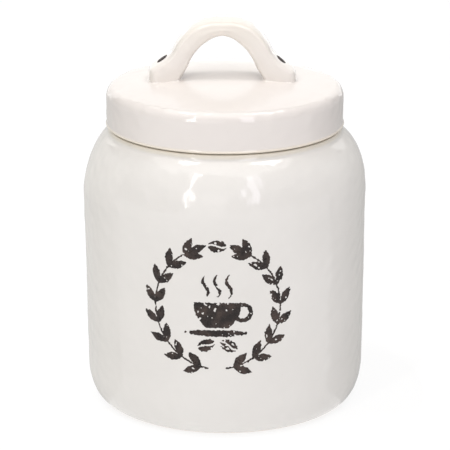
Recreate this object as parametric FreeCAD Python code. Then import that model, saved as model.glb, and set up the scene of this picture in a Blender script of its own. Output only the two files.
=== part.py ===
"""Glazed stoneware coffee canister: a shouldered jar, a domed cap lid with a strap handle, a silicone seal.

Frame: millimetres, +Z up, origin at the centre of the jar's standing face. The printed emblem faces -Y and
the handle's strap runs along X.
"""

import FreeCAD, Part
import math
import os
from FreeCAD import Vector

OUT = "parts"

# Jar, outside
BELLY_R = 60.0  # widest radius, where the wall meets the shoulder
BELLY_Z = 91.2
WALL_FOOT_R = 59.0  # the wall narrows a little downwards
WALL_FOOT_Z = 15.5  # the base curve starts here
FOOT_R = 52.0  # outer edge of the standing face
FOOT_RING_W = 6.5
FOOT_RECESS = 1.8
SHOULDER_R = 42.7  # radius of the shoulder ellipse's centre
SHOULDER_H = 28.5
COLLAR_R = 49.6
RIM_Z = 119.5
RIM_ROUND = 0.8

# Jar, inside
THROAT_R = 42.0
THROAT_Z = 112.0  # lower end of the straight throat
CHAMBER_R = 54.0
CHAMBER_TOP_Z = 88.0
CHAMBER_FLOOR_R = 53.0
FLOOR_Z = 7.5
FLOOR_ROUND = 12.0

# Seal: a flange between rim and lid, and two fins that wipe the throat
FLANGE_T = 0.5
FLANGE_R = 46.0
SEAL_WEB_R = 40.3
FIN_TIP_R = 41.75
FIN_TIP_T = 0.3
FIN_ROOT_T = 1.0
FIRST_FIN = 0.8
FIN_PITCH = 2.3
RUNNING_GAP = 0.15  # round the seal, which the lid turns on

# Lid
LID_R = 50.0
LID_SEAT_Z = RIM_Z + FLANGE_T
LID_SIDE_H = 17.0
LID_EDGE_ROUND = 3.0
LID_WALL = 5.0
DOME_ANGLE = math.radians(8.5)  # slope of the dome where it meets the edge round
PLUG_R = 39.5
PLUG_WALL = 4.5
PLUG_Z = 109.0
GROOVE_DEPTH = 1.2
GROOVE_Z = (112.0, 117.0)

# Handle: half outlines of the strap seen from the front, from the middle to where they run on straight
HANDLE_SHIFT_X = -1.0  # it sits a little off the lid's centre
STRAP_W = 15.0
STRAP_EDGE_ROUND = 2.2
STRAP_OUTER = [(0, 164.5), (8, 163.7), (13.4, 160.8), (16.9, 156.8)]
STRAP_OUTER += [(20.1, 151.8), (23, 148.4), (28.4, 145.1)]
STRAP_INNER = [(0, 159.1), (7.6, 155.9), (12.6, 149.8), (15.1, 144.8), (17.2, 140.6)]
STRAP_END_X = 31.0
FOOT_ROUND = 2.6  # where the foot's top meets its upright end
HANDLE_SUNK_Z = 137.0  # the raw strap ends here and is trimmed to the dome

# Rivet marks in the handle's feet
RIVET_X = 24.8
RIVET_Z = 147.3
RIVET_SLOPE = math.radians(31)
RIVET_R = 2.6
RIVET_T = 1.0
RIVET_ROUND = 0.3
RIVET_POCKET = 1.2
RIVET_GAP = 0.05

# Printed emblem: a wreath of coffee leaves round a steaming cup, on the front of the wall
PRINT_Z = 57.5
PRINT_TURN = -3.1  # degrees about Z from straight in front of the handle
PRINT_WRAP_R = 59.6  # wall radius that flat print widths are wrapped round
PRINT_GAP = 0.02
PRINT_T = 0.15
PRINT_BAND = (24.0, 90.0)
WREATH_R = 26.4
SPRIG_ANGLES = (-76, 58)  # first and last leaf pair, degrees from +X
LEAF_PAIRS = 8
LEAF_L = 8.6
LEAF_W = 3.5
LEAF_TILT = 32
STEM_HALF_W = 0.4
STEM_PAST = 6  # degrees that the stem runs on past its leaves
CUP_RIM = (9.5, 2.5)
CUP_WAIST = (8.4, -4.0)
CUP_BASE = (4.6, -8.6)
CUP_LOOP = (10.4, -1.9)
CUP_LOOP_R = (4.3, 2.5)
SAUCER = (0.0, -10.9, 13.4, 1.5)
STEAM_X = (-4.8, 0.0, 4.8)
STEAM_V = (4.4, 14.6)
STEAM_SWAY = 1.1
STEAM_HALF_W = 0.75
BEANS = [(-4.7, -16.2, 24), (4.7, -16.2, -24), (0.0, 26.8, 0)]  # centre and tilt of each
BEAN_SIZE = (3.9, 2.6)
BEAN_CREASE_SWAY = 0.6
BEAN_CREASE_HALF_W = 0.35


def at(r, z):
    return Vector(r, 0, z)


def rounded(points):
    """Edges of an open outline through (x, z, corner radius) points, with a tangent arc where it is round."""
    edges = []
    start = at(*points[0][:2])
    for before, here, after in zip(points, points[1:], points[2:]):
        corner, radius = at(*here[:2]), here[2]
        back = (at(*before[:2]) - corner).normalize()
        ahead = (at(*after[:2]) - corner).normalize()
        if radius:
            half = back.getAngle(ahead) / 2
            reach = radius / math.tan(half)
            middle = corner + (back + ahead).normalize() * (radius / math.sin(half) - radius)
            first, last = corner + back * reach, corner + ahead * reach
            edges += [Part.makeLine(start, first), Part.Arc(first, middle, last).toShape()]
            start = last
        else:
            edges.append(Part.makeLine(start, corner))
            start = corner
    return edges + [Part.makeLine(start, at(*points[-1][:2]))]


def ellipse_arc(centre, tall, wide, from_z, to_z):
    """Arc of an ellipse between two heights, on its outer side. A negative tall makes it curve in downwards."""
    ellipse = Part.Ellipse(at(centre[0], centre[1] + tall), at(centre[0] + wide, centre[1]), at(*centre))
    ends = sorted(math.acos((z - centre[1]) / tall) for z in (from_z, to_z))
    return ellipse.toShape(*ends)


def face_of(edges):
    return Part.Face(Part.Wire(Part.__sortEdges__(edges)))


def turned(edges):
    """Solid of revolution about Z of a closed outline."""
    return face_of(edges).revolve(Vector(0, 0, 0), Vector(0, 0, 1), 360)


def shoulder_z(r):
    """Height of the shoulder's surface at a radius."""
    share = (r - SHOULDER_R) / (BELLY_R - SHOULDER_R)
    return BELLY_Z + SHOULDER_H * math.sqrt(1 - share * share)


def jar():
    foot_in = FOOT_R - FOOT_RING_W
    edges = rounded([(0, FOOT_RECESS, 0), (foot_in - 1, FOOT_RECESS, 1), (foot_in, 0, 0.6), (FOOT_R, 0, 0)])
    edges.append(ellipse_arc((FOOT_R, WALL_FOOT_Z), -WALL_FOOT_Z, WALL_FOOT_R - FOOT_R, 0, WALL_FOOT_Z))
    edges.append(Part.makeLine(at(WALL_FOOT_R, WALL_FOOT_Z), at(BELLY_R, BELLY_Z)))
    collar_z = shoulder_z(COLLAR_R)
    edges.append(ellipse_arc((SHOULDER_R, BELLY_Z), SHOULDER_H, BELLY_R - SHOULDER_R, collar_z, BELLY_Z))
    rim = [(COLLAR_R, collar_z, 0), (COLLAR_R, RIM_Z, RIM_ROUND), (THROAT_R, RIM_Z, RIM_ROUND)]
    edges += rounded(rim + [(THROAT_R, THROAT_Z, 0)])
    drop = THROAT_Z - CHAMBER_TOP_Z
    edges.append(ellipse_arc((THROAT_R, CHAMBER_TOP_Z), drop, CHAMBER_R - THROAT_R, THROAT_Z, CHAMBER_TOP_Z))
    floor_corner = (CHAMBER_FLOOR_R, FLOOR_Z, FLOOR_ROUND)
    edges += rounded([(CHAMBER_R, CHAMBER_TOP_Z, 0), floor_corner, (0, FLOOR_Z, 0)])
    edges.append(Part.makeLine(at(0, FLOOR_Z), at(0, FOOT_RECESS)))
    return turned(edges)


def seal_ring():
    inner = PLUG_R - GROOVE_DEPTH + RUNNING_GAP
    low, high = GROOVE_Z[0] + RUNNING_GAP, GROOVE_Z[1] - RUNNING_GAP
    outline = [(inner, low), (SEAL_WEB_R, low)]
    for n in range(2):
        root = low + FIRST_FIN + n * FIN_PITCH
        tip = root + (FIN_ROOT_T - FIN_TIP_T) / 2
        outline += [(SEAL_WEB_R, root), (FIN_TIP_R, tip)]
        outline += [(FIN_TIP_R, tip + FIN_TIP_T), (SEAL_WEB_R, root + FIN_ROOT_T)]
    outline += [(SEAL_WEB_R, RIM_Z), (FLANGE_R, RIM_Z), (FLANGE_R, LID_SEAT_Z)]
    outline += [(PLUG_R + RUNNING_GAP, LID_SEAT_Z), (PLUG_R + RUNNING_GAP, high), (inner, high)]
    return turned(rounded([(r, z, 0) for r, z in outline + outline[:1]]))


def lid():
    edge_r, edge_z = LID_R - LID_EDGE_ROUND, LID_SEAT_Z + LID_SIDE_H - LID_EDGE_ROUND

    def on_round(angle):
        return at(edge_r + LID_EDGE_ROUND * math.sin(angle), edge_z + LID_EDGE_ROUND * math.cos(angle))

    def dome(share, drop=0.0):
        radius = rim.x / math.sin(DOME_ANGLE)
        angle = DOME_ANGLE * share
        return at(radius * math.sin(angle), rim.z + radius * (math.cos(angle) - math.cos(DOME_ANGLE)) - drop)

    rim = on_round(DOME_ANGLE)
    groove_r, plug_in, hollow_r = PLUG_R - GROOVE_DEPTH, PLUG_R - PLUG_WALL, LID_R - LID_WALL
    under = dome(1, LID_WALL)
    edges = [
        Part.Arc(dome(0), dome(0.5), rim).toShape(),
        Part.Arc(rim, on_round((DOME_ANGLE + math.pi / 2) / 2), at(LID_R, edge_z)).toShape(),
        Part.Arc(under, dome(0.5, LID_WALL), dome(0, LID_WALL)).toShape(),
        Part.makeLine(dome(0, LID_WALL), dome(0)),
    ]
    edges += rounded(
        [
            (LID_R, edge_z, 0),
            (LID_R, LID_SEAT_Z, 1.0),
            (PLUG_R, LID_SEAT_Z, 0),
            (PLUG_R, GROOVE_Z[1], 0),
            (groove_r, GROOVE_Z[1], 0),
            (groove_r, GROOVE_Z[0], 0),
            (PLUG_R, GROOVE_Z[0], 0),
            (PLUG_R, PLUG_Z, 1.2),
            (plug_in, PLUG_Z, 1.2),
            (plug_in, LID_SEAT_Z + LID_WALL, 2.0),
            (hollow_r, LID_SEAT_Z + LID_WALL, 2.0),
            (hollow_r, under.z, 0),
            (under.x, under.z, 0),
        ]
    )
    return turned(edges)


def rivet_frame(side):
    """Place of a rivet mark's outer face, with Z out of the strap."""
    spin = FreeCAD.Rotation(Vector(0, 1, 0), math.degrees(side * RIVET_SLOPE))
    return FreeCAD.Placement(Vector(HANDLE_SHIFT_X + side * RIVET_X, 0, RIVET_Z), spin)


def rivet(side):
    disc = Part.makeCylinder(RIVET_R, RIVET_T, Vector(0, 0, -RIVET_POCKET))
    disc = disc.makeFillet(RIVET_ROUND, [e for e in disc.Edges if e.BoundBox.ZMin > -RIVET_POCKET + 0.1])
    disc.Placement = rivet_frame(side)
    return disc


def smooth(half):
    """Spline through a half outline and its mirror image, with its right-hand end and direction there."""
    curve = Part.BSplineCurve()
    curve.interpolate([at(-x, z) for x, z in half[:0:-1]] + [at(x, z) for x, z in half])
    return curve.toShape(), curve.EndPoint, curve.tangent(curve.LastParameter)[0]


def handle(lid_solid):
    outer, top, top_run = smooth(STRAP_OUTER)
    inner, under, under_run = smooth(STRAP_INNER)
    corner = top + top_run * ((STRAP_END_X - top.x) / top_run.x)
    sunk = under + under_run * ((HANDLE_SUNK_Z - under.z) / under_run.z)
    foot = [(top, 0), (corner, FOOT_ROUND), (at(STRAP_END_X, HANDLE_SUNK_Z), 0), (sunk, 0), (under, 0)]
    edges = [outer, inner]
    for side in (-1, 1):
        edges += rounded([(side * p.x, p.z, radius) for p, radius in foot])
    face = face_of(edges)
    face.translate(Vector(HANDLE_SHIFT_X, -STRAP_W / 2, 0))
    strap = face.extrude(Vector(0, STRAP_W, 0))
    long_edges = [e for e in strap.Edges if e.BoundBox.YLength < 0.01 and e.BoundBox.ZMax > HANDLE_SUNK_Z + 1]
    strap = strap.makeFillet(STRAP_EDGE_ROUND, long_edges).cut(lid_solid)
    for side in (-1, 1):
        pocket = Part.makeCylinder(RIVET_R + RIVET_GAP, RIVET_POCKET + 4, Vector(0, 0, -RIVET_POCKET))
        pocket.Placement = rivet_frame(side)
        strap = strap.cut(pocket)
    return strap.Solids[0]


def wrapped(u, v):
    """Point in front of the jar that projects along Y to the flat print position (u, v) on the wall."""
    return Vector(PRINT_WRAP_R * math.sin(u / PRINT_WRAP_R), -BELLY_R - 5, PRINT_Z + v)


def print_shell():
    """Thin layer on the wall that every printed mark is cut from."""
    def cone(offset):
        slope = (BELLY_R - WALL_FOOT_R) / (BELLY_Z - WALL_FOOT_Z)
        low, high = (WALL_FOOT_R + slope * (z - WALL_FOOT_Z) + offset for z in PRINT_BAND)
        return Part.makeCone(low, high, PRINT_BAND[1] - PRINT_BAND[0], Vector(0, 0, PRINT_BAND[0]))

    return cone(PRINT_GAP + PRINT_T).cut(cone(PRINT_GAP))


def printed(faces, cutters=()):
    """Marks of ink: flat faces pushed through the front of the print layer, less the cutters."""
    prisms = [face.extrude(Vector(0, BELLY_R, 0)) for face in faces]
    body = prisms[0].multiFuse(prisms[1:]) if len(prisms) > 1 else prisms[0]
    for cutter in cutters:
        body = body.cut(cutter.extrude(Vector(0, BELLY_R, 0)))
    marks = Part.Compound(body.common(print_shell()).Solids)
    marks.rotate(Vector(0, 0, 0), Vector(0, 0, 1), PRINT_TURN)
    return marks


def outline_face(sides):
    """Flat face bounded by smooth curves, each through its own (u, v) points."""
    edges = []
    for side in sides:
        points = [wrapped(*p) for p in side]
        if len(points) == 2:
            edges.append(Part.makeLine(*points))
        else:
            curve = Part.BSplineCurve()
            curve.interpolate(points)
            edges.append(curve.toShape())
    return face_of(edges)


def band(path, half_width, steps=4):
    """Face along path(t), t from 0 to 1, half_width(t) wide to each side, pointed where that is 0."""
    left, right = [], []
    for n in range(steps + 1):
        t = n / steps
        (u0, v0), (u1, v1) = path(t - 0.01), path(t + 0.01)
        run = math.hypot(u1 - u0, v1 - v0)
        across = (v0 - v1) / run * half_width(t), (u1 - u0) / run * half_width(t)
        u, v = path(t)
        left.append((u + across[0], v + across[1]))
        right.append((u - across[0], v - across[1]))
    sides = [left, right]
    for a, b in ((left[0], right[0]), (left[-1], right[-1])):
        if math.dist(a, b) > 1e-6:
            sides.append([a, b])
    return outline_face(sides)


def on_circle(radius, degrees):
    angle = math.radians(degrees)
    return radius * math.cos(angle), radius * math.sin(angle)


def leaf(base, heading):
    """Pointed leaf from a base point, along a heading in degrees."""
    du, dv = on_circle(LEAF_L, heading)
    return band(lambda t: (base[0] + du * t, base[1] + dv * t), lambda t: LEAF_W / 2 * math.sin(math.pi * t))


def oval(u, v, wide, tall, tilt=0):
    """Face of an ellipse with a tilt in degrees."""
    (cos, sin), steps = on_circle(1, tilt), 20
    points = []
    for n in range(steps):
        a, b = wide * math.cos(2 * math.pi * n / steps), tall * math.sin(2 * math.pi * n / steps)
        points.append(wrapped(u + a * cos - b * sin, v + a * sin + b * cos))
    curve = Part.BSplineCurve()
    curve.interpolate(points, PeriodicFlag=True)
    return Part.Face(Part.Wire(curve.toShape()))


def print_sprig(side):
    """One branch of the wreath, on the right for side 1 and the left for side -1."""
    first, last = SPRIG_ANGLES
    step = (last - first) / (LEAF_PAIRS - 1)

    def turn(degrees):
        return degrees if side > 0 else 180 - degrees

    def stem(t):
        return on_circle(WREATH_R, turn(first - STEM_PAST + (last - first + 2 * STEM_PAST) * t))

    marks = [band(stem, lambda t: STEM_HALF_W, 12)]
    for n in range(LEAF_PAIRS):
        base = on_circle(WREATH_R, turn(first + n * step))
        growth = turn(first + n * step + 90)
        marks += [leaf(base, growth + tilt) for tilt in (-LEAF_TILT, LEAF_TILT)]
    marks.append(leaf(stem(0.99), turn(last + STEM_PAST + 90)))
    return printed(marks)


def print_cup():
    side = [CUP_RIM, CUP_WAIST, CUP_BASE]
    mirrored = [(-u, v) for u, v in side]
    bowl = outline_face([side, mirrored, [side[0], mirrored[0]], [side[-1], mirrored[-1]]])
    outer, inner = (oval(*CUP_LOOP, r, r) for r in CUP_LOOP_R)
    return printed([bowl, outer.cut(inner).Faces[0], oval(*SAUCER)])


def print_steam():
    low, high = STEAM_V
    wisps = []
    for u in STEAM_X:

        def rise(t, u=u):
            return u + STEAM_SWAY * math.sin(2 * math.pi * t), low + (high - low) * t

        wisps.append(band(rise, lambda t: STEAM_HALF_W * math.sin(math.pi * (0.08 + 0.84 * t)), 8))
    return printed(wisps)


def print_beans():
    """Beans, each in two halves with an S-shaped crease between them."""
    long_r, short_r = BEAN_SIZE
    creases = []
    for u, v, tilt in BEANS:
        cos, sin = on_circle(1, tilt)

        def crease(t, u=u, v=v, cos=cos, sin=sin):
            a, b = (2.4 * t - 1.2) * long_r, BEAN_CREASE_SWAY * math.sin(2 * math.pi * t)
            return u + a * cos - b * sin, v + a * sin + b * cos

        creases.append(band(crease, lambda t: BEAN_CREASE_HALF_W, 8))
    return printed([oval(u, v, long_r, short_r, tilt) for u, v, tilt in BEANS], creases)


os.makedirs(OUT, exist_ok=True)
lid_solid = lid()
nodes = {
    "jar": jar(),
    "lid": lid_solid,
    "seal_ring": seal_ring(),
    "handle": handle(lid_solid),
    "rivet_left": rivet(-1),
    "rivet_right": rivet(1),
    "print_sprig_left": print_sprig(-1),
    "print_sprig_right": print_sprig(1),
    "print_cup": print_cup(),
    "print_steam": print_steam(),
    "print_beans": print_beans(),
}
for name, shape in nodes.items():
    shape.exportStep(os.path.join(OUT, name + ".step"))
    print(name, len(shape.Solids), "solids", round(shape.Volume, 1), "mm3, valid", shape.isValid())
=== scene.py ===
"""Looks of the glazed stoneware coffee canister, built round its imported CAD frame.

The clay pieces are turned or swept meshes with a slightly uneven, hand-dipped surface. Shape constants are in
millimetres unless they say otherwise; every mesh is in metres, in the frame of the CAD.
"""

import math

import bpy
import numpy as np
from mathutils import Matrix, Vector


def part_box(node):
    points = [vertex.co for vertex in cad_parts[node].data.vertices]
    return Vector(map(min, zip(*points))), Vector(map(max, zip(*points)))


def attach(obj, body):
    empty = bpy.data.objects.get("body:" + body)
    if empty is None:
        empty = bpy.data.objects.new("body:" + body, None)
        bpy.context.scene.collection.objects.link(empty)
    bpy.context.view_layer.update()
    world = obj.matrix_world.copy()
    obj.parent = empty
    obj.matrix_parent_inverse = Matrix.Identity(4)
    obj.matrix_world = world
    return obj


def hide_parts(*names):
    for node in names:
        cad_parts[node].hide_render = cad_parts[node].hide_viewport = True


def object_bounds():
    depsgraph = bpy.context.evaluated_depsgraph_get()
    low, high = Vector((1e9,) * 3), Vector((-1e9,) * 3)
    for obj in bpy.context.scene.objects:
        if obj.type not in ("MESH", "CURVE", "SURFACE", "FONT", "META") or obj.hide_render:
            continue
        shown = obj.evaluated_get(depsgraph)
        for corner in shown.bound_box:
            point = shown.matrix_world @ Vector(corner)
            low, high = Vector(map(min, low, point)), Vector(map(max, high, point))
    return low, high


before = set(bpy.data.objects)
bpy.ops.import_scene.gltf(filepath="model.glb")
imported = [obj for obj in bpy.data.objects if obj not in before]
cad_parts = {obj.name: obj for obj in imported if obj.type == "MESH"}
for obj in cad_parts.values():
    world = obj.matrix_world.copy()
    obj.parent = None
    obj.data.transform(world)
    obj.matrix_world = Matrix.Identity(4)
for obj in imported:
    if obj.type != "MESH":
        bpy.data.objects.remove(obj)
cad_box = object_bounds()

MM = 0.001
seal_box = [np.array(corner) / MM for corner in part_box("seal_ring")]
jar_box = [np.array(corner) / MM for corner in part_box("jar")]
lid_box = [np.array(corner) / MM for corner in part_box("lid")]
strap_box = [np.array(corner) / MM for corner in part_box("handle")]

# Heights and radii that the frame gives
BELLY_R = max(abs(jar_box[0][:2]).max(), jar_box[1][:2].max())
RIM_Z = jar_box[1][2]
SEAT_Z = seal_box[1][2]
SEAL_FLANGE_R = seal_box[1][:2].max()
LID_R = max(abs(lid_box[0][:2]).max(), lid_box[1][:2].max())
PLUG_Z = lid_box[0][2]
DOME_Z = lid_box[1][2]
STRAP_TOP_Z = strap_box[1][2]
STRAP_HALF_W = (strap_box[1][1] - strap_box[0][1]) / 2
STRAP_MID_X = (strap_box[1][0] + strap_box[0][0]) / 2
STRAP_END_X = (strap_box[1][0] - strap_box[0][0]) / 2

# Jar
BELLY_Z = 91.2
WALL_FOOT = (59.3, 15.5)
FOOT_R = 52.0
FOOT_IN_R = 45.5
FOOT_RECESS = 1.8
BARE_H = 0.7  # the foot ring's clay is bare below this height
SHOULDER_R = 42.7
SHOULDER_H = 28.5
SHOULDER_POWER = 2.03  # a little squarer than an ellipse
COLLAR_R = 49.6
COLLAR_FILLET = 2.9
CREAM_Z = (117.4, 118.5)  # the collar turns creamy between these heights: thinner glaze, and painted shade under the lid's edge
TRUE_Z = 118.5  # from here up to the rim it is round and even
LEAN = 0.45  # how far the hand-shaped shoulder leans to the right
LEAN_GROWS = (BELLY_Z + 1, 106)
LEAN_FADES = (112, TRUE_Z)
THROAT_R = 42.0
THROAT_Z = 112.0
CHAMBER_R = 54.0
CHAMBER_TOP_Z = 88.0
CHAMBER_FLOOR_R = 53.0
FLOOR_Z = 7.5
FLOOR_ROUND = 12.0
OUTSIDE_STEP = 1.1  # longest mesh edge along an outline
INSIDE_STEP = 2.2

# Lid
LID_SIDE_H = 17.0
LID_EDGE = (3.8, 4.8)  # across and down
LID_WALL = 5.0
DOME_ANGLE = math.radians(8.5)
PLUG_R = 39.5
PLUG_WALL = 4.5
GROOVE_DEPTH = 1.2
GROOVE = (112.0, 117.0)
BEAD = 0.4  # how far the glaze gathered at the lid's lower edge stands out
BEAD_Z = 0.75  # its height above the seat
BEAD_HALF_H = 0.42
DOME_FREE = 0.15  # share of the unevenness that the lid's top has
EDGE_FREE = 0.5  # how much more uneven its rounded edge is than its side
SATIN = 0.13  # what the roughness of its top gains over its side

AROUND = 360  # steps round a turned piece
rng = np.random.default_rng(36)


# ---------------------------------------------------------------- uneven surfaces


def ripples(count, shortest, longest):
    """Smooth random field over (x, y, z) in mm, about 1 in size, from waves between two lengths in mm."""
    heading = rng.normal(size=(count, 3))
    heading /= np.linalg.norm(heading, axis=1)[:, None]
    turns = heading * (2 * math.pi / rng.uniform(shortest, longest, count))[:, None]
    phase = rng.uniform(0, 2 * math.pi, count)

    def field(points):
        return np.sin(points @ turns.T + phase).sum(axis=1) * math.sqrt(2 / count)

    return field


out_of_round = ripples(10, 70, 160)
dipping = ripples(28, 16, 34)
dimples = ripples(40, 4.5, 9)


def smoothstep(low, high, value):
    t = np.clip((value - low) / (high - low), 0, 1)
    return t * t * (3 - 2 * t)


def clay_skin(points, free=1.0):
    """How far the glazed surface stands proud of its plain shape at these points, in mm. free is 0 to 1."""
    return free * (0.07 * out_of_round(points) + 0.05 * dipping(points) + 0.034 * dimples(points))


# ---------------------------------------------------------------- meshes


def arc(centre, radii, start, end, steps):
    """Points of an ellipse arc, angles in degrees from +r towards +z."""
    turn = np.radians(np.linspace(start, end, steps))
    return [(centre[0] + radii[0] * math.cos(t), centre[1] + radii[1] * math.sin(t)) for t in turn]


def rounded(points, steps=7):
    """Outline through (r, z, corner radius) points with its corners rounded."""
    outline = [points[0][:2]]
    for before, here, after in zip(points, points[1:], points[2:]):
        corner, radius = np.array(here[:2], float), here[2]
        if not radius:
            outline.append(tuple(corner))
            continue
        back, ahead = (np.array(p[:2], float) - corner for p in (before, after))
        back /= np.linalg.norm(back)
        ahead /= np.linalg.norm(ahead)
        half = math.acos(np.clip(back @ ahead, -1, 1)) / 2
        middle = corner + (back + ahead) / np.linalg.norm(back + ahead) * radius / math.sin(half)
        first = corner + back * radius / math.tan(half)
        last = corner + ahead * radius / math.tan(half)
        for t in np.linspace(0, 1, steps):
            spoke = (first - middle) * (1 - t) + (last - middle) * t
            outline.append(tuple(middle + spoke / np.linalg.norm(spoke) * radius))
    outline.append(points[-1][:2])
    return outline


def subdivided(outline, step):
    """The outline with no two points further apart than step, and none at the same place."""
    points = [np.array(outline[0], float)]
    for here in outline[1:]:
        here = np.array(here, float)
        gap = np.linalg.norm(here - points[-1])
        if gap < 1e-4:
            continue
        count = math.ceil(gap / step)
        start = points[-1]
        points += [start + (here - start) * n / count for n in range(1, count + 1)]
    return np.array(points)


def make_mesh(name, points, faces, material, body, nodes):
    """A piece from points in mm. It rides on a body and stands for CAD nodes."""
    mesh = bpy.data.meshes.new(name)
    mesh.from_pydata((np.asarray(points) * MM).tolist(), [], faces)
    mesh.validate()
    mesh.polygons.foreach_set("use_smooth", [True] * len(mesh.polygons))
    mesh.materials.append(material)
    piece = bpy.data.objects.new(name, mesh)
    bpy.context.scene.collection.objects.link(piece)
    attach(piece, body)
    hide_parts(*nodes)
    return piece


def normals_of(outline):
    """Outward normals (r, z) along an outline that runs anticlockwise round its material."""
    along = np.gradient(outline, axis=0)
    normal = np.stack([along[:, 1], -along[:, 0]], axis=1)
    return normal / np.maximum(np.linalg.norm(normal, axis=1), 1e-9)[:, None]


def turned(outline, free, closed=False):
    """Points and faces of an outline turned about Z: a closed one, or one with both ends on the axis.

    free says, for each of its points, how uneven it may be.
    """
    inner = slice(None) if closed else slice(1, -1)
    body, normal, free = outline[inner], normals_of(outline)[inner], free[inner]
    angle = np.linspace(0, 2 * math.pi, AROUND, endpoint=False)
    cos, sin = np.cos(angle)[None, :], np.sin(angle)[None, :]
    r, z = body[:, :1], body[:, 1:]
    points = np.stack([r * cos, r * sin, z + 0 * cos], axis=2).reshape(-1, 3)
    out = np.stack([normal[:, :1] * cos, normal[:, :1] * sin, normal[:, 1:] + 0 * cos], axis=2).reshape(-1, 3)
    points += out * clay_skin(points, np.repeat(free, AROUND))[:, None]
    rows = len(body)
    faces = []
    for i in range(rows if closed else rows - 1):
        a, b = i * AROUND, (i + 1) % rows * AROUND
        for j in range(AROUND):
            k = (j + 1) % AROUND
            faces.append((a + j, a + k, b + k, b + j))
    if not closed:
        for row in (0, rows - 1):
            tip = len(points)
            points = np.vstack([points, [[0, 0, points[row * AROUND:(row + 1) * AROUND, 2].mean()]]])
            ring = [row * AROUND + j for j in range(AROUND)]
            for a, b in zip(ring, ring[1:] + ring[:1]):
                faces.append((tip, b, a) if row == 0 else (tip, a, b))
    return points, faces


# ---------------------------------------------------------------- materials


class Nodes:
    """A material's node tree, with short calls for the nodes that the finishes share."""

    def __init__(self, name):
        self.material = bpy.data.materials.new(name)
        self.material.use_nodes = True
        self.tree = self.material.node_tree
        self.surface = self.tree.nodes["Principled BSDF"]
        self.place = self.tree.nodes.new("ShaderNodeTexCoord").outputs["Object"]

    def add(self, kind, inputs=(), **settings):
        node = self.tree.nodes.new("ShaderNode" + kind)
        for key, value in settings.items():
            setattr(node, key, value)
        for key, value in dict(inputs).items():
            self.put(node, key, value)
        return node

    def put(self, node, key, value):
        if isinstance(value, bpy.types.NodeSocket):
            self.tree.links.new(value, node.inputs[key])
        else:
            node.inputs[key].default_value = value

    def noise(self, size, detail=2.0):
        """Noise from 0 to 1 whose lumps are about size mm across."""
        inputs = {"Vector": self.place, "Scale": 1 / (size * MM), "Detail": detail}
        return self.add("TexNoise", inputs).outputs["Fac"]

    def ramp(self, value, low, high, to_low=0.0, to_high=1.0):
        inputs = {"Value": value, "From Min": low, "From Max": high, "To Min": to_low, "To Max": to_high}
        return self.add("MapRange", inputs, clamp=True).outputs["Result"]

    def mix(self, share, first, second):
        """Colour from first to second."""
        node = self.add("Mix", data_type="RGBA")
        for socket, value in ((0, share), (6, first), (7, second)):
            self.put(node, socket, (*value, 1) if isinstance(value, tuple) else value)
        return node.outputs[2]

    def maths(self, operation, first, second):
        return self.add("Math", {0: first, 1: second}, operation=operation).outputs[0]

    def height(self):
        """Height above the standing face, in metres."""
        return self.add("SeparateXYZ", {0: self.place}).outputs["Z"]

    def bump(self, layers):
        """Bump from (height socket, depth in mm) layers."""
        normal = None
        for value, depth in layers:
            inputs = {"Height": value, "Distance": depth * MM, "Strength": 1.0}
            if normal:
                inputs["Normal"] = normal
            normal = self.add("Bump", inputs).outputs["Normal"]
        self.put(self.surface, "Normal", normal)

    def finish(self, **sockets):
        for key, value in sockets.items():
            key = key.replace("_", " ")
            self.put(self.surface, key, (*value, 1) if isinstance(value, tuple) else value)
        return self.material


def glaze(name, pale, deep, waves, cream_band, satin=None, bare=None):
    """Glossy white glaze over stoneware. waves is how strong its relief is, up to 1.

    Heights in mm: the colour turns from white to cream between the two heights of the cream band, and from
    glossy to satin between the two of satin, and is wiped off the clay below bare.
    """
    n = Nodes(name)
    cloud = n.ramp(n.noise(38, 2), 0.35, 0.65)
    mottle = n.ramp(n.noise(7, 3), 0.3, 0.7)
    colour = n.mix(n.maths("MULTIPLY", cloud, 0.6), pale, deep)
    colour = n.mix(n.maths("MULTIPLY", mottle, 0.22), colour, deep)
    # Cream band: thinner glaze and painted shade under the lid's edge on the jar's collar; a creamier tone on
    # the lid's lower edge and towards the top of the strap.
    cream_and_shade = n.ramp(n.height(), cream_band[0] * MM, cream_band[1] * MM)
    colour = n.mix(n.maths("MULTIPLY", cream_and_shade, 0.8), colour, (0.82, 0.755, 0.64))
    pinhole = n.ramp(n.noise(0.9, 1), 0.79, 0.84)
    colour = n.mix(n.maths("MULTIPLY", pinhole, 0.25), colour, (0.42, 0.34, 0.26))
    gloss = n.ramp(n.noise(16, 3), 0.3, 0.7, 0.06, 0.13)
    if satin:
        gloss = n.maths("ADD", gloss, n.ramp(n.height(), satin[0] * MM, satin[1] * MM, 0.0, SATIN))
    relief = [(n.noise(9, 1), 0.15 * waves), (n.noise(3.4, 2), 0.055 * waves), (n.noise(0.7, 1), 0.0015)]
    if bare:
        edge = n.maths("ADD", n.height(), n.ramp(n.noise(1.4, 2), 0.2, 0.8, -0.3 * MM, 0.3 * MM))
        share = n.ramp(edge, (bare - 0.12) * MM, (bare + 0.12) * MM, 1.0, 0.0)
        clay = n.mix(n.ramp(n.noise(0.8, 3), 0.3, 0.7), (0.6, 0.5, 0.4), (0.72, 0.62, 0.51))
        colour = n.mix(share, colour, clay)
        gloss = n.maths("MAXIMUM", gloss, n.maths("MULTIPLY", share, 0.7))
    n.bump(relief)
    return n.finish(Base_Color=colour, Roughness=gloss, IOR=1.5)


def dark_glaze():
    n = Nodes("dark_glaze")
    colour = n.mix(n.ramp(n.noise(1.1, 3), 0.35, 0.7), (0.012, 0.008, 0.008), (0.055, 0.036, 0.034))
    n.bump([(n.noise(1.3, 2), 0.05), (n.noise(0.4, 1), 0.01)])
    return n.finish(Base_Color=colour, Roughness=n.ramp(n.noise(0.8, 2), 0.3, 0.7, 0.38, 0.55), IOR=1.22)


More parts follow.
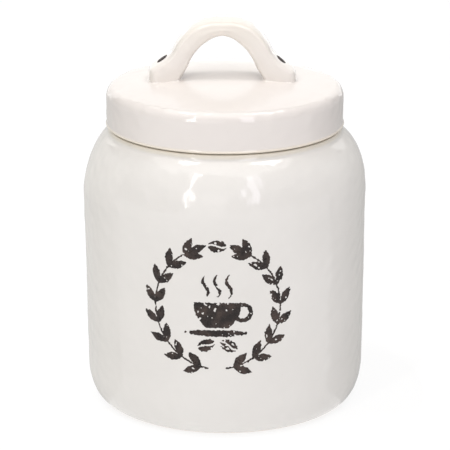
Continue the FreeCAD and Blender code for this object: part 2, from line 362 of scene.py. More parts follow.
def ink():
    """Fired-on print: brown-black, thinner and browner in places, with a slight grain."""
    n = Nodes("print_ink")
    colour = n.mix(n.ramp(n.noise(4.5, 3), 0.4, 0.68), (0.017, 0.012, 0.011), (0.06, 0.041, 0.034))
    grain = n.ramp(n.noise(0.35, 2), 0.58, 0.8)
    colour = n.mix(n.maths("MULTIPLY", grain, 0.35), colour, (0.2, 0.16, 0.14))
    n.bump([(n.noise(0.5, 2), 0.006)])
    return n.finish(Base_Color=colour, Roughness=n.ramp(n.noise(1.5, 2), 0.3, 0.7, 0.22, 0.42), IOR=1.36)


def silicone():
    n = Nodes("silicone")
    colour = n.mix(n.ramp(n.noise(9, 3), 0.35, 0.65), (0.78, 0.77, 0.74), (0.7, 0.69, 0.66))
    dust = n.ramp(n.noise(0.5, 2), 0.68, 0.76)
    colour = n.mix(n.maths("MULTIPLY", dust, 0.3), colour, (0.5, 0.48, 0.45))
    n.bump([(n.noise(0.6, 2), 0.01), (n.noise(5, 1), 0.03)])
    n.surface.inputs["Subsurface Weight"].default_value = 0.25
    n.surface.inputs["Subsurface Radius"].default_value = (0.002, 0.0018, 0.0016)
    return n.finish(Base_Color=colour, Roughness=n.ramp(n.noise(3, 2), 0.3, 0.7, 0.4, 0.58), IOR=1.41)


def paper_white():
    """Seamless studio floor."""
    n = Nodes("studio_floor")
    colour = n.mix(n.ramp(n.noise(90, 3), 0.3, 0.7), (0.2, 0.2, 0.2), (0.22, 0.22, 0.22))
    n.bump([(n.noise(1.5, 2), 0.02)])
    n.surface.inputs["Emission Color"].default_value = (1, 1, 1, 1)
    n.surface.inputs["Emission Strength"].default_value = FLOOR_GLOW
    return n.finish(Base_Color=colour, Roughness=0.8)


# ---------------------------------------------------------------- camera, floor and lights

# Lengths here are in metres; the glows are emission strengths
LOOK_AT = Vector((0.00003, 0, 0.07446))
CAMERA_AWAY = 1.0
CAMERA_PITCH = math.radians(17.52)
LENS = 186.1  # focal length in mm
FLOOR_GLOW = 0.77
FLOOR_HALF_W = 6.0
SCREEN_GLOW = (0.69, 0.5)  # at its left and right end
SCREEN_R = 0.087
SCREEN_FOOT_R = 0.05
SCREEN_TOP = 0.13
SCREEN_ARC = (-25, 205)  # degrees from the right, by the back, to the left


def aim(thing, place, target):
    thing.location = place
    thing.rotation_euler = (Vector(target) - Vector(place)).to_track_quat("-Z", "Y").to_euler()


def add_camera():
    camera = bpy.data.objects.new("camera", bpy.data.cameras.new("camera"))
    camera.data.lens = LENS
    camera.data.clip_start = 0.05
    bpy.context.scene.collection.objects.link(camera)
    back = Vector((0, -math.cos(CAMERA_PITCH), math.sin(CAMERA_PITCH)))
    aim(camera, LOOK_AT + back * CAMERA_AWAY, LOOK_AT)
    bpy.context.scene.camera = camera


def add_floor():
    mesh = bpy.data.meshes.new("floor")
    far, z = FLOOR_HALF_W, cad_box[0].z - 0.00005
    corners = [(-far, -far, z), (far, -far, z), (far, far, z), (-far, far, z)]
    mesh.from_pydata(corners, [], [(0, 1, 2, 3)])
    mesh.materials.append(paper_white())
    floor = bpy.data.objects.new("floor", mesh)
    bpy.context.scene.collection.objects.link(floor)


def add_panel(name, azimuth, elevation, away, size, radiance, colour):
    """Softbox facing the canister, at azimuth 0 behind the camera and at 90 on the right."""
    lamp = bpy.data.lights.new(name, "AREA")
    lamp.shape = "RECTANGLE"
    lamp.size, lamp.size_y = size
    lamp.color = colour
    lamp.energy = radiance * math.pi * size[0] * size[1]
    panel = bpy.data.objects.new(name, lamp)
    a, e = math.radians(azimuth), math.radians(elevation)
    back = Vector((math.sin(a) * math.cos(e), -math.cos(a) * math.cos(e), math.sin(e)))
    aim(panel, LOOK_AT + back * away, LOOK_AT)
    bpy.context.scene.collection.objects.link(panel)


def add_screen():
    """Grey screen round the back of the canister and its foot on the floor. Only the glaze shows it."""
    steps, low = 48, cad_box[0].z + 0.0005
    profile = ((SCREEN_FOOT_R, low), (SCREEN_R, low), (SCREEN_R, SCREEN_TOP))
    points, faces = [], []
    for turn in np.radians(np.linspace(*SCREEN_ARC, steps + 1)):
        points += [(r * math.cos(turn), r * math.sin(turn), z) for r, z in profile]
    for i in range(0, 3 * steps, 3):
        faces += [(i, i + 1, i + 4, i + 3), (i + 1, i + 2, i + 5, i + 4)]
    mesh = bpy.data.meshes.new("screen")
    mesh.from_pydata(points, [], faces)
    n = Nodes("screen")
    across = n.add("SeparateXYZ", {0: n.place}).outputs["X"]
    n.put(n.surface, "Emission Strength", n.ramp(across, -SCREEN_R, SCREEN_R, *SCREEN_GLOW))
    mesh.materials.append(n.finish(Base_Color=(0, 0, 0), Emission_Color=(1.0, 0.995, 0.98), Roughness=1.0))
    screen = bpy.data.objects.new("screen", mesh)
    screen.visible_camera = False
    screen.visible_shadow = False
    bpy.context.scene.collection.objects.link(screen)


def add_world():
    world = bpy.data.worlds.new("studio")
    world.use_nodes = True
    world.node_tree.nodes["Background"].inputs["Color"].default_value = (1.0, 1.0, 1.0, 1)
    world.node_tree.nodes["Background"].inputs["Strength"].default_value = 0.2
    bpy.context.scene.world = world


add_camera()
add_floor()
add_world()
# (name, azimuth and elevation in degrees, distance, width and height, brightness, colour)
add_panel("softbox_top", -20, 82, 1.5, (2.2, 1.8), 1.6, (1.0, 0.985, 0.965))
add_panel("ceiling_left", -79, 72, 1.5, (0.26, 0.3), 9.0, (1.0, 0.99, 0.97))
add_panel("ceiling_right", 82, 68.7, 1.5, (0.26, 0.4), 8.0, (1.0, 0.99, 0.97))
add_panel("backdrop", 180, 15, 1.8, (3.0, 1.6), 0.93, (1.0, 0.99, 0.98))
add_panel("fill_front", -16, 10, 2.0, (1.3, 0.8), 0.84, (1.0, 0.98, 0.955))
add_screen()
add_panel("window_left", -31, 27, 1.7, (0.11, 1.5), 9.0, (1.0, 0.98, 0.95))
add_panel("window_right", 24, 27, 1.7, (0.34, 1.3), 3.4, (0.92, 0.88, 0.99))
bpy.context.scene.view_settings.view_transform = "Standard"


# ---------------------------------------------------------------- jar, lid and seal

jar_white = glaze(
    "white_glaze_jar", (0.80, 0.778, 0.745), (0.755, 0.733, 0.70), 1.0, cream_band=CREAM_Z, bare=BARE_H
)
lid_white = glaze(
    "white_glaze_lid", (0.813, 0.768, 0.733), (0.778, 0.73, 0.695), 0.15,
    cream_band=(SEAT_Z + 1.7, SEAT_Z + 0.9), satin=(SEAT_Z + LID_SIDE_H - 0.4, DOME_Z),
)
# The handle's glaze turns creamier towards the top of the strap, from 150 mm up.
handle_white = glaze(
    "white_glaze_handle", (0.868, 0.823, 0.775), (0.83, 0.784, 0.737), 0.6, cream_band=(150, 184)
)


def shoulder_point(turn):
    """Point (r, z) of the shoulder's superellipse, 0 to 90 degrees up from the belly, in radians."""
    across, up = (leg ** (2 / SHOULDER_POWER) for leg in (math.cos(turn), math.sin(turn)))
    return SHOULDER_R + (BELLY_R - SHOULDER_R) * across, BELLY_Z + SHOULDER_H * up


def wall_r(z):
    """Radius of the tapered wall."""
    return WALL_FOOT[0] + (BELLY_R - WALL_FOOT[0]) * (z - WALL_FOOT[1]) / (BELLY_Z - WALL_FOOT[1])


def leaning(z):
    """How far the hand-shaped shoulder leans to the right at these heights."""
    return LEAN * smoothstep(*LEAN_GROWS, z) * (1 - smoothstep(*LEAN_FADES, z))


def add_jar():
    at_collar = math.acos(((COLLAR_R - SHOULDER_R) / (BELLY_R - SHOULDER_R)) ** (SHOULDER_POWER / 2))
    collar_z = shoulder_point(at_collar)[1]
    foot = [(0, FOOT_RECESS, 0), (FOOT_IN_R - 1, FOOT_RECESS, 1), (FOOT_IN_R, 0, 0.6), (FOOT_R, 0, 0)]
    outside = rounded(foot)
    outside += arc((FOOT_R, WALL_FOOT[1]), (WALL_FOOT[0] - FOOT_R, WALL_FOOT[1]), -90, 0, 24)
    shoulder = [shoulder_point(turn) for turn in np.linspace(0, at_collar, 40)]
    outside += [point for point in shoulder if math.dist(point, (COLLAR_R, collar_z)) > 0.65 * COLLAR_FILLET]
    rim = [(COLLAR_R, collar_z, COLLAR_FILLET), (COLLAR_R, RIM_Z, 0.5)]
    rim += [(THROAT_R, RIM_Z, 0.8), (THROAT_R, THROAT_Z, 0)]
    outside += rounded([outside[-1] + (0,)] + rim)[1:-1]
    outside = subdivided(outside, OUTSIDE_STEP)
    inside = arc((THROAT_R, CHAMBER_TOP_Z), (CHAMBER_R - THROAT_R, THROAT_Z - CHAMBER_TOP_Z), 90, 0, 24)
    floor = [(CHAMBER_R, CHAMBER_TOP_Z, 0), (CHAMBER_FLOOR_R, FLOOR_Z, FLOOR_ROUND), (0, FLOOR_Z, 0)]
    inside += rounded(floor, 12)
    inside = subdivided(inside, INSIDE_STEP)
    free = np.concatenate(
        [
            smoothstep(0.5, 6, outside[:, 1]) * (1 - smoothstep(114, TRUE_Z, outside[:, 1])),
            0.8 * smoothstep(FLOOR_Z - 1, 16, inside[:, 1]) * (1 - smoothstep(98, 109, inside[:, 1])),
        ]
    )
    points, faces = turned(np.vstack([outside, inside]), free)
    points[:, 0] += leaning(points[:, 2])
    make_mesh("glazed_jar", points, faces, jar_white, "jar", ["jar"])


edge_z = SEAT_Z + LID_SIDE_H - LID_EDGE[1]
edge_end = math.atan2(LID_EDGE[1] * math.cos(DOME_ANGLE), LID_EDGE[0] * math.sin(DOME_ANGLE))
dome_rim = (LID_R - LID_EDGE[0] * (1 - math.cos(edge_end)), edge_z + LID_EDGE[1] * math.sin(edge_end))
dome_radius = dome_rim[0] / math.sin(DOME_ANGLE)
dome_centre_z = dome_rim[1] - dome_radius * math.cos(DOME_ANGLE)


def dome_z(x, y):
    """Plain height of the lid's dome."""
    return dome_centre_z + np.sqrt(dome_radius**2 - x**2 - y**2)


def bead(z):
    """How far the gathered glaze stands out at this height of the lid's side."""
    return BEAD * math.exp(-(((z - SEAT_Z - BEAD_Z) / BEAD_HALF_H) ** 2))


def add_lid():
    tilt = math.degrees(DOME_ANGLE)
    under_z = dome_rim[1] - LID_WALL
    groove_r, hollow_r = PLUG_R - GROOVE_DEPTH, LID_R - LID_WALL
    shelf_z = SEAT_Z + LID_WALL
    inside = arc((0, dome_centre_z - LID_WALL), (dome_radius, dome_radius), 90, 90 - tilt, 30)
    inside += rounded(
        [
            inside[-1] + (0,),
            (hollow_r, under_z, 2.0),
            (hollow_r, shelf_z, 2.0),
            (PLUG_R - PLUG_WALL, shelf_z, 2.0),
            (PLUG_R - PLUG_WALL, PLUG_Z, 1.2),
            (PLUG_R, PLUG_Z, 1.2),
            (PLUG_R, GROOVE[0], 0.3),
            (groove_r, GROOVE[0], 0.3),
            (groove_r, GROOVE[1], 0.3),
            (PLUG_R, GROOVE[1], 0.3),
            (PLUG_R, SEAT_Z, 0.6),
            (LID_R - 3, SEAT_Z, 0),
        ]
    )
    outside = rounded([(LID_R - 3, SEAT_Z, 0), (LID_R, SEAT_Z, 0.7), (LID_R, SEAT_Z + BEAD_Z, 0)], 10)
    outside += [(LID_R, z) for z in np.linspace(SEAT_Z + BEAD_Z + 0.1, SEAT_Z + 3, 14)]
    outside = [(r + bead(z) * (r > LID_R - 1), z) for r, z in outside]
    outside += arc((LID_R - LID_EDGE[0], edge_z), LID_EDGE, 0, math.degrees(edge_end), 18)
    outside += arc((0, dome_centre_z), (dome_radius, dome_radius), 90 - tilt, 90, 44)
    inside, outside = subdivided(inside, 1.4), subdivided(outside, OUTSIDE_STEP)
    on_side = smoothstep(SEAT_Z + 0.4, SEAT_Z + 4, outside[:, 1])
    on_edge = smoothstep(edge_z - 4, edge_z, outside[:, 1]) * smoothstep(LID_R - 6, LID_R - 2, outside[:, 0])
    off_dome = smoothstep(LID_R - 7, LID_R - 3, outside[:, 0])
    free = on_side * (DOME_FREE + (1 - DOME_FREE) * off_dome) * (1 + EDGE_FREE * on_edge)
    free = np.concatenate([0 * inside[:, 1], free])
    points, faces = turned(np.vstack([inside, outside[1:]]), free[: len(inside) + len(outside) - 1])
    make_mesh("glazed_lid", points, faces, lid_white, "lid", ["lid"])


add_jar()
add_lid()


# ---------------------------------------------------------------- strap handle and its marks

# Half outlines of the strap from its middle outwards, in the plane of the arch. The two sides were pulled by
# hand and differ a little.
STRAP_LEFT = [(0, STRAP_TOP_Z + 0.4), (7.2, 164.4), (12.3, 162.3), (16.2, 159.0), (19.5, 154.9)]
STRAP_LEFT += [(21.6, 151.2), (23.7, 149.1), (26.2, 147.3), (28.7, 145.6)]
STRAP_RIGHT = [(0, STRAP_TOP_Z + 0.4), (7.8, 164.4), (12.8, 162.3), (16.4, 159.1), (19.3, 155.1)]
STRAP_RIGHT += [(21.9, 150.4), (24.5, 147.6), (26.6, 146.1), (28.8, 144.8)]
SUNK_Z = 136.5  # its feet end here, inside the lid
DOME_AT_FOOT_Z = 140.0  # they meet the lid's top about here
INNER_LEFT = [(0, 158.6), (4.0, 157.5), (7.7, 155.1), (10.4, 152.5), (12.6, 149.4), (14.7, 145.2)]
INNER_LEFT += [(16.5, 141.8), (19.4, SUNK_Z)]
INNER_RIGHT = [(0, 158.6), (3.4, 157.6), (7.0, 155.1), (9.7, 152.5), (11.9, 149.4), (14.0, 145.2)]
INNER_RIGHT += [(16.0, 141.8), (19.4, SUNK_Z)]
FOOT_ROUND = 3.2
FILLET = 0.7  # clay smoothed into the corner round each foot
FOOT_CORNERS = (4.2, 2.0)  # the feet's corner radii, seen from above: outer, inner
END_L = 5.0  # the strap narrows by a share of its width over this length of its ends
END_NARROWING = 0.3
TOP_CROWN = 2.8
TOP_SQUARENESS = 3.4
UNDER_CROWN = 2.4
UNDER_SQUARENESS = 3.2
SIDE_CROWN = 0.25
STATIONS = 300
MARK_OUT = {-1: 25.4, 1: 24.6}  # from the strap's middle, on its left and right
MARK_R = 2.6
# (radius, how far it stands proud of the strap) from the mark's middle to under its edge
MARK_RINGS = [(0.25, 0.36), (0.6, 0.35), (1.1, 0.32), (1.6, 0.27), (1.8, 0.2), (1.95, 0.19)]
MARK_RINGS += [(2.1, 0.25), (2.3, 0.27), (2.48, 0.22), (MARK_R, 0.08), (MARK_R, -0.5), (1.3, -0.5)]
MARK_DIMPLE_R = 3.7
MARK_DIMPLE = 0.16


def smooth_curve(points, steps=14):
    """Points of a smooth curve through the given ones."""
    points = np.array(points, float)
    along = np.concatenate([[0], np.cumsum(np.linalg.norm(np.diff(points, axis=0), axis=1))])
    slope = np.gradient(points, along, axis=0, edge_order=2)
    out = []
    for i, (a, b) in enumerate(zip(along, along[1:])):
        for t in np.linspace(0, 1, steps, endpoint=False):
            keep, lean = 2 * t**3 - 3 * t**2 + 1, t**3 - 2 * t**2 + t
            out.append(
                keep * points[i] + (1 - keep) * points[i + 1]
                + (b - a) * (lean * slope[i] + (t**3 - t**2) * slope[i + 1])
            )
    return np.array(out + [points[-1]])


def spread_along(path, shares):
    """Points at shares of a path's length, with the unit direction there."""
    along = np.concatenate([[0], np.cumsum(np.linalg.norm(np.diff(path, axis=0), axis=1))])
    at = np.asarray(shares) * along[-1]
    points = np.stack([np.interp(at, along, path[:, k]) for k in range(2)], axis=1)
    run = np.gradient(points, axis=0)
    return points, run / np.linalg.norm(run, axis=1)[:, None]


def strap_outer():
    """Outer outline of the strap from the left foot's bottom to the right foot's bottom."""
    left, right = (smooth_curve(side) for side in (STRAP_LEFT, STRAP_RIGHT))
    half = []
    for side in (left, right):
        run = side[-1] - side[-4]
        corner = side[-1] + run * (STRAP_END_X - side[-1][0]) / run[0]
        end = [tuple(side[-1]) + (0,), tuple(corner) + (FOOT_ROUND,), (STRAP_END_X, SUNK_Z, 0)]
        half.append(np.vstack([side[:-1], rounded(end, 10)]))
    left, right = half
    return np.vstack([left[::-1] * (-1, 1), right[1:]]) + (STRAP_MID_X, 0)


def strap_inner():
    """Inner outline of the strap, from left to right."""
    left, right = (smooth_curve(side) for side in (INNER_LEFT, INNER_RIGHT))
    return np.vstack([left[::-1] * (-1, 1), right[1:]]) + (STRAP_MID_X, 0)


strap_top = strap_outer()
strap_under = strap_inner()


def mark_place(side):
    """Centre of a mark on the foot's slope, the slope's downhill direction and its outward normal."""
    x = STRAP_MID_X + side * MARK_OUT[side]
    order = np.argsort(strap_top[:, 0])
    z = np.interp([x - 0.5, x, x + 0.5], strap_top[order, 0], strap_top[order, 1])
    down = np.array([side, 0, side * (z[2] - z[0])])
    down /= np.linalg.norm(down)
    return np.array([x, 0, z[1]]), down, np.cross(down, (0, side, 0))


def dimpled(points):
    """Points of the strap pressed in round the two marks."""
    for side in (-1, 1):
        centre, down, out = mark_place(side)
        near = points - centre
        height = near @ out
        ring = np.linalg.norm(near - height[:, None] * out, axis=1)
        press = MARK_DIMPLE * (1 - smoothstep(0.62 * MARK_DIMPLE_R, MARK_DIMPLE_R, ring)) * (abs(height) < 2)
        points = points - press[:, None] * out
    return points


def rolled(turn, crown, squareness):
    """Distance from the middle and inset of the strap's rolled edge, 0 to 90 degrees round from its side."""
    return STRAP_HALF_W * math.cos(turn) ** (2 / squareness), crown * (1 - math.sin(turn) ** (2 / squareness))


def foot_width(x):
    """Share of the strap's width there: its two ends are rounded off, seen from above."""
    along = np.clip((abs(x - STRAP_MID_X) - STRAP_END_X + END_L) / END_L, 0, 1)
    return 1 - END_NARROWING * (1 - np.sqrt(1 - along**2))


def uneven(points, faces, free):
    """The points moved along the mesh's own normals by the glazed surface's unevenness."""
    mesh = bpy.data.meshes.new("scratch")
    mesh.from_pydata(points.tolist(), [], faces)
    normal = np.zeros(len(points) * 3)
    mesh.vertex_normals.foreach_get("vector", normal)
    bpy.data.meshes.remove(mesh)
    return points + normal.reshape(-1, 3) * clay_skin(points, free)[:, None]


def lid_top(points):
    """The points dropped onto the lid's dome, its unevenness included."""
    on = np.array(points, float)
    on[:, 2] = dome_z(on[:, 0], on[:, 1])
    on[:, 2] += clay_skin(on, DOME_FREE)
    return on


def foot_fillet(side):
    """Rounded clay joint between one foot and the dome, as a closed strip round the foot."""
    near = np.interp(DOME_AT_FOOT_Z, *inner_leg(side))
    x_in, x_out = sorted((near, STRAP_MID_X + side * STRAP_END_X), key=abs)
    w, (r_out, r_in) = STRAP_HALF_W, FOOT_CORNERS
    corners = [(x_out, w, r_out), (x_out, -w, r_out), (x_in, -w, r_in), (x_in, w, r_in)]
    if side < 0:
        corners = corners[::-1]
    middle = ((x_out + x_in) / 2, corners[0][1])
    loop = subdivided(rounded([middle + (0,)] + corners + [middle + (0,)], 10), 0.6)[:-1]
    run = np.roll(loop, -1, axis=0) - np.roll(loop, 1, axis=0)
    out = np.stack([-run[:, 1], run[:, 0], 0 * run[:, 0]], axis=1)
    out /= np.linalg.norm(out, axis=1)[:, None]
    foot = lid_top(np.column_stack([loop, 0 * loop[:, 0]]))
    lean = np.clip(out[:, 0] * -side, 0, 1)[:, None] * 0.5 * out  # the strap's underside overhangs the dome
    rise = np.array([0, 0, 1]) + lean
    wall, edge = foot + rise * FILLET - 0.03 * out, lid_top(foot + out * FILLET * 1.2)
    edge[:, 2] -= 0.02
    strip = [(1 - t) ** 2 * wall + 2 * t * (1 - t) * foot + t * t * edge for t in np.linspace(0, 1, 7)]
    deep = np.array([0, 0, -0.6])
    strip += [edge + deep, foot - 0.6 * out + deep, wall - 0.6 * out]
    points = np.stack(strip, axis=1).reshape(-1, 3)
    count, n = len(strip), len(loop)
    faces = []
    for i in range(n):
        for j in range(count):
            k, m = (j + 1) % count, (i + 1) % n
            faces.append((i * count + j, i * count + k, m * count + k, m * count + j))
    return points, faces


def inner_leg(side):
    """Heights and x of the strap's underside on one side, in rising order of height."""
    leg = strap_under[(strap_under[:, 0] - STRAP_MID_X) * side > 5]
    leg = leg[np.argsort(leg[:, 1])]
    return leg[:, 1], leg[:, 0]


def add_handle():
    share = np.linspace(0, 1, STATIONS)
    foot_share = np.interp(share, [0, 0.17, 0.83, 1], [0, 0.1, 0.9, 1])
    outer, outer_run = spread_along(strap_top, share)
    inner, inner_run = spread_along(strap_under, foot_share)
    outer_out = np.stack([-outer_run[:, 1], outer_run[:, 0]], axis=1)
    inner_out = np.stack([inner_run[:, 1], -inner_run[:, 0]], axis=1)

    # (share of outer, inset from it, inset from inner, y), from the middle of the top
    half = [(1, 0, 0, 0.0)]
    for turn in np.radians(np.linspace(90, 0, 19))[1:]:
        y, inset = rolled(turn, TOP_CROWN, TOP_SQUARENESS)
        half.append((1, inset, 0, y))
    for t in np.linspace(1, 0, 7)[1:-1]:
        half.append((t, TOP_CROWN, UNDER_CROWN, STRAP_HALF_W + SIDE_CROWN * 4 * t * (1 - t)))
    for turn in np.radians(np.linspace(0, 90, 15))[:-1]:
        y, inset = rolled(turn, UNDER_CROWN, UNDER_SQUARENESS)
        half.append((0, 0, inset, y))
    section = half + [(0, 0, 0, 0.0)] + [(s, o, i, -y) for s, o, i, y in half[:0:-1]]

    rows = []
    for t, from_outer, from_inner, y in section:
        xz = t * (outer - outer_out * from_outer) + (1 - t) * (inner - inner_out * from_inner)
        rows.append(np.stack([xz[:, 0], y * foot_width(xz[:, 0]), xz[:, 1]], axis=1))
    points = np.stack(rows, axis=1).reshape(-1, 3)
    count = len(section)
    faces = []
    for i in range(STATIONS - 1):
        for j in range(count):
            k = (j + 1) % count
            faces.append((i * count + j, (i + 1) * count + j, (i + 1) * count + k, i * count + k))
    faces.append(tuple(range(count)))
    faces.append(tuple((STATIONS - 1) * count + j for j in reversed(range(count))))
    free = smoothstep(DOME_AT_FOOT_Z + 0.5, DOME_AT_FOOT_Z + 4, points[:, 2])
    for side in (-1, 1):
        apart = np.linalg.norm(points - mark_place(side)[0], axis=1)
        free *= smoothstep(MARK_DIMPLE_R, MARK_DIMPLE_R + 3, apart)
    points = uneven(points, faces, free)
    points = dimpled(points)
    fillets = [foot_fillet(side) for side in (-1, 1)]
    for more_points, more_faces in fillets:
        faces += [tuple(n + len(points) for n in face) for face in more_faces]
        points = np.vstack([points, more_points])
    make_mesh("glazed_handle", points, faces, handle_white, "lid", ["handle"])


def add_mark(side, node):
    """Dark rivet mark: a low round button with a fine groove, lying in the foot's dimple."""
    centre, down, out = mark_place(side)
    across = np.cross(out, down)
    steps = 72
    points = []
    for r, proud in MARK_RINGS:
        for turn in np.linspace(0, 2 * math.pi, steps, endpoint=False):
            wobble = 1 + (0.012 * math.sin(3 * turn + side) + 0.008 * math.sin(7 * turn)) * (r > 2)
            at = centre + r * wobble * (math.cos(turn) * down + math.sin(turn) * across)
            points.append(at + out * (proud - MARK_DIMPLE))
    faces = []
    for i in range(len(MARK_RINGS) - 1):
        for j in range(steps):
            k = (j + 1) % steps
            faces.append((i * steps + j, (i + 1) * steps + j, (i + 1) * steps + k, i * steps + k))
    faces.append(tuple(range(steps)))
    faces.append(tuple((len(MARK_RINGS) - 1) * steps + j for j in reversed(range(steps))))
    name = "rivet_mark_left" if side < 0 else "rivet_mark_right"
    make_mesh(name, points, faces, mark_dark, "lid", [node])


# ---------------------------------------------------------------- seal

FIN_TIP_R = 41.75
SEAL_WEB_R = 40.3
FINS = (112.95, 115.25)
RUNNING_GAP = 0.15


def add_seal():
    inner, outer = PLUG_R - GROOVE_DEPTH + RUNNING_GAP, PLUG_R + RUNNING_GAP
    low, high = GROOVE[0] + RUNNING_GAP, GROOVE[1] - RUNNING_GAP
    outline = [(inner, low, 0), (SEAL_WEB_R, low, 0.2)]
    for root in FINS:
        outline += [(SEAL_WEB_R, root, 0.15), (FIN_TIP_R, root + 0.25, 0.12)]
        outline += [(FIN_TIP_R, root + 0.75, 0.12), (SEAL_WEB_R, root + 1.0, 0.15)]
    outline += [(SEAL_WEB_R, RIM_Z, 0.2), (SEAL_FLANGE_R, RIM_Z, 0.12), (SEAL_FLANGE_R, SEAT_Z, 0.12)]
    outline += [(outer, SEAT_Z, 0.15), (outer, high, 0.1), (inner, high, 0.15), (inner, low, 0)]
    outline = subdivided(rounded(outline, 4), 1.0)[:-1]
    points, faces = turned(outline, 0 * outline[:, 0], closed=True)
    make_mesh("silicone_seal", points, faces, silicone(), "seal", ["seal_ring"])


mark_dark = dark_glaze()
add_handle()
add_mark(-1, "rivet_left")
add_mark(1, "rivet_right")
add_seal()


# ---------------------------------------------------------------- worn print

beans_box = [np.array(corner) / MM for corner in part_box("print_beans")]
cup_box = [np.array(corner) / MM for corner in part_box("print_cup")]

# Flat sizes of the print, u to the right and v up from the middle of its wreath
WREATH_R = 26.4
SPRIG_ANGLES = (-76, 58)
LEAF_PAIRS = 8
LEAF_L = 8.6
LEAF_W = 3.5
LEAF_TILT = 32
STEM_HALF_W = 0.4
STEM_PAST = 6
CUP_RIM = (9.5, 2.5)
CUP_WAIST = (8.4, -4.0)
CUP_BASE = (4.6, -8.6)
CUP_LOOP = (10.4, -1.9)
CUP_LOOP_R = (4.3, 2.5)
SAUCER = (0, -10.9, 13.4, 1.5)
STEAM_X = (-4.8, 0, 4.8)
STEAM_V = (4.4, 14.6)
STEAM_SWAY = 1.1
STEAM_HALF_W = 0.75
BEANS = [(-4.7, -16.2, 24), (4.7, -16.2, -24), (0, 26.8, 0)]
BEAN_SIZE = (3.9, 2.6)
CREASE_SWAY = 0.6
CREASE_HALF_W = 0.35

PRINT_WRAP_R = 59.6
PRINT_TURN = math.asin((beans_box[0][0] + beans_box[1][0]) / 2 / -beans_box[0][1])
PRINT_Z = cup_box[0][2] - (SAUCER[1] - SAUCER[3])
PRINT_REACH = (37, 33)
PRINT_STEP = 0.16  # grid that the print's worn edge is traced on
SPECK = 14  # smallest group of grid points that is kept as ink
INK_PROUD = 0.045
INK_ROOT = 0.03

ragged = ripples(60, 0.7, 1.8)
patchy = ripples(60, 0.9, 2.6)
rubbed = ripples(12, 12, 26)


def on_circle(radius, degrees):
    return radius * math.cos(math.radians(degrees)), radius * math.sin(math.radians(degrees))


def oval_ink(u, v, middle_u, middle_v, wide, tall, tilt=0):
    """Above 0 inside an ellipse, about as many as the mm from its edge."""
    cos, sin = on_circle(1, tilt)
    a = (u - middle_u) * cos + (v - middle_v) * sin
    b = (v - middle_v) * cos - (u - middle_u) * sin
    return (1 - np.hypot(a / wide, b / tall)) * min(wide, tall)


def leaf_ink(u, v, base, heading):
    cos, sin = on_circle(1, heading)
    along = (u - base[0]) * cos + (v - base[1]) * sin
    across = (v - base[1]) * cos - (u - base[0]) * sin
    half = LEAF_W / 2 * np.sin(math.pi * np.clip(along / LEAF_L, 0, 1))
    return half - abs(across) - np.maximum(0, np.maximum(-along, along - LEAF_L))


def sprig_ink(u, v):
    """Right-hand branch of the wreath."""
    first, last = SPRIG_ANGLES
    step = (last - first) / (LEAF_PAIRS - 1)
    turn = np.degrees(np.arctan2(v, u))
    past = np.maximum(first - STEM_PAST - turn, turn - last - STEM_PAST)
    ink = STEM_HALF_W - abs(np.hypot(u, v) - WREATH_R) - np.maximum(0, np.radians(past)) * WREATH_R
    for n in range(LEAF_PAIRS):
        place = first + n * step
        for tilt in (-LEAF_TILT, LEAF_TILT):
            ink = np.maximum(ink, leaf_ink(u, v, on_circle(WREATH_R, place), place + 90 + tilt))
    tip = on_circle(WREATH_R, last + STEM_PAST - 0.01 * (last - first + 2 * STEM_PAST))
    return np.maximum(ink, leaf_ink(u, v, tip, last + STEM_PAST + 90))


def cup_ink(u, v):
    side_u, side_v = zip(CUP_RIM, CUP_WAIST, CUP_BASE)
    half = np.polyval(np.polyfit(side_v, side_u, 2), v)
    bowl = np.minimum(half - abs(u), np.minimum(CUP_RIM[1] - v, v - CUP_BASE[1]))
    outer, inner = (oval_ink(u, v, *CUP_LOOP, r, r) for r in CUP_LOOP_R)
    return np.maximum(np.maximum(bowl, np.minimum(outer, -inner)), oval_ink(u, v, *SAUCER))


def steam_ink(u, v):
    low, high = STEAM_V
    t = (v - low) / (high - low)
    half = STEAM_HALF_W * np.sin(math.pi * (0.08 + 0.84 * np.clip(t, 0, 1)))
    sway = STEAM_SWAY * np.sin(2 * math.pi * t)
    steep = np.hypot(1, 2 * math.pi * STEAM_SWAY / (high - low) * np.cos(2 * math.pi * t))
    wisps = [half - abs(u - x - sway) / steep for x in STEAM_X]
    return np.minimum(np.maximum.reduce(wisps), np.minimum(v - low, high - v))


def bean_ink(u, v):
    long_r, short_r = BEAN_SIZE
    ink = np.full(u.shape, -9.0)
    for middle_u, middle_v, tilt in BEANS:
        cos, sin = on_circle(1, tilt)
        a = (u - middle_u) * cos + (v - middle_v) * sin
        b = (v - middle_v) * cos - (u - middle_u) * sin
        crease = abs(b - CREASE_SWAY * np.sin(math.pi * (a / long_r + 1.2) / 1.2)) - CREASE_HALF_W
        ink = np.maximum(ink, np.minimum(oval_ink(u, v, middle_u, middle_v, long_r, short_r, tilt), crease))
    return ink


def worn(ink, u, v):
    """The ink's edge eaten into and holes rubbed through it, more so on its right."""
    flat = np.stack([u, v, 0 * u], axis=-1).reshape(-1, 3)
    edge, holes, rub = (field(flat).reshape(u.shape) for field in (ragged, patchy, rubbed))
    holes_from = 1.75 - 0.4 * rub - 0.35 * np.clip(u / 30, -1, 1)
    return np.minimum(ink - 0.06 + 0.1 * edge, 0.35 * (holes_from - holes))


def without_specks(inside):
    """The mask less its small islands."""
    seen = np.zeros_like(inside)
    for start in zip(*np.nonzero(inside)):
        if seen[start]:
            continue
        seen[start] = True
        group, reached = [start], 0
        while reached < len(group):
            i, j = group[reached]
            reached += 1
            for near in ((i + 1, j), (i - 1, j), (i, j + 1), (i, j - 1)):
                if inside[near] and not seen[near]:
                    seen[near] = True
                    group.append(near)
        if len(group) < SPECK:
            for place in group:
                inside[place] = False
    return inside


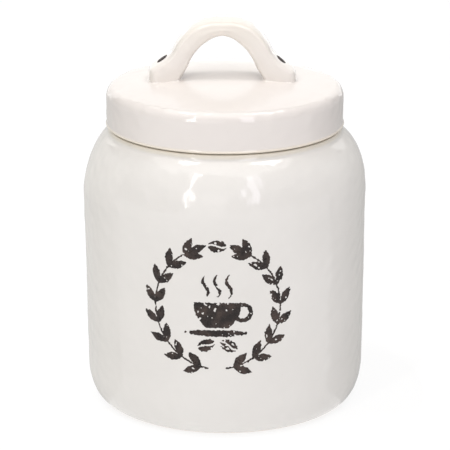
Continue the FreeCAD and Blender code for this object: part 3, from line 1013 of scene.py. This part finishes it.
def traced(ink):
    """Flat points (u, v) and anticlockwise faces that cover the places where ink(u, v) is above 0."""
    u, v = (np.arange(-reach, reach, PRINT_STEP) for reach in PRINT_REACH)
    grid = np.meshgrid(u, v, indexing="ij")
    value = worn(ink(*grid), *grid)
    inside = without_specks(value > 0)
    value = np.where(inside, value, np.minimum(value, -0.01))
    points, faces, index = [], [], {}

    def numbered(key, place):
        if key not in index:
            index[key] = len(points)
            points.append(place)
        return index[key]

    touched = inside[:-1, :-1] | inside[1:, :-1] | inside[1:, 1:] | inside[:-1, 1:]
    for i, j in zip(*(ends.tolist() for ends in np.nonzero(touched))):
        ring = [(i, j), (i + 1, j), (i + 1, j + 1), (i, j + 1)]
        face = []
        for here, there in zip(ring, ring[1:] + ring[:1]):
            if inside[here]:
                face.append(numbered(here, (u[here[0]], v[here[1]])))
            if inside[here] != inside[there]:
                a, b = sorted((here, there))
                share = min(max(value[a] / (value[a] - value[b]), 0.12), 0.88)
                place = [axis[p] * (1 - share) + axis[q] * share for axis, p, q in zip((u, v), a, b)]
                face.append(numbered((a, b), place))
        faces.append(face)
    return np.array(points), faces


def on_wall(flat, proud):
    """Flat print points laid on the jar's glazed wall."""
    turn, z = flat[:, 0] / PRINT_WRAP_R + PRINT_TURN, PRINT_Z + flat[:, 1]
    heading = np.stack([np.sin(turn), -np.cos(turn), 0 * turn], axis=1)
    points = heading * wall_r(z)[:, None] + z[:, None] * np.array([0, 0, 1])
    return points + heading * (clay_skin(points) + proud)[:, None]


def add_print(name, node, ink):
    flat, faces = traced(ink)
    edges = {(a, b) for face in faces for a, b in zip(face, face[1:] + face[:1])}
    count = len(flat)
    shell = faces + [[n + count for n in reversed(face)] for face in faces]
    shell += [(b, a, a + count, b + count) for a, b in sorted(edges) if (b, a) not in edges]
    points = np.vstack([on_wall(flat, INK_PROUD), on_wall(flat, -INK_ROOT)])
    piece = make_mesh(name, points, shell, ink_black, "jar", [node])
    piece.data.set_sharp_from_angle(angle=math.radians(35))


ink_black = ink()
add_print("ink_sprig_right", "print_sprig_right", sprig_ink)
add_print("ink_sprig_left", "print_sprig_left", lambda u, v: sprig_ink(-u, v))
add_print("ink_cup", "print_cup", cup_ink)
add_print("ink_steam", "print_steam", steam_ink)
add_print("ink_beans", "print_beans", bean_ink)
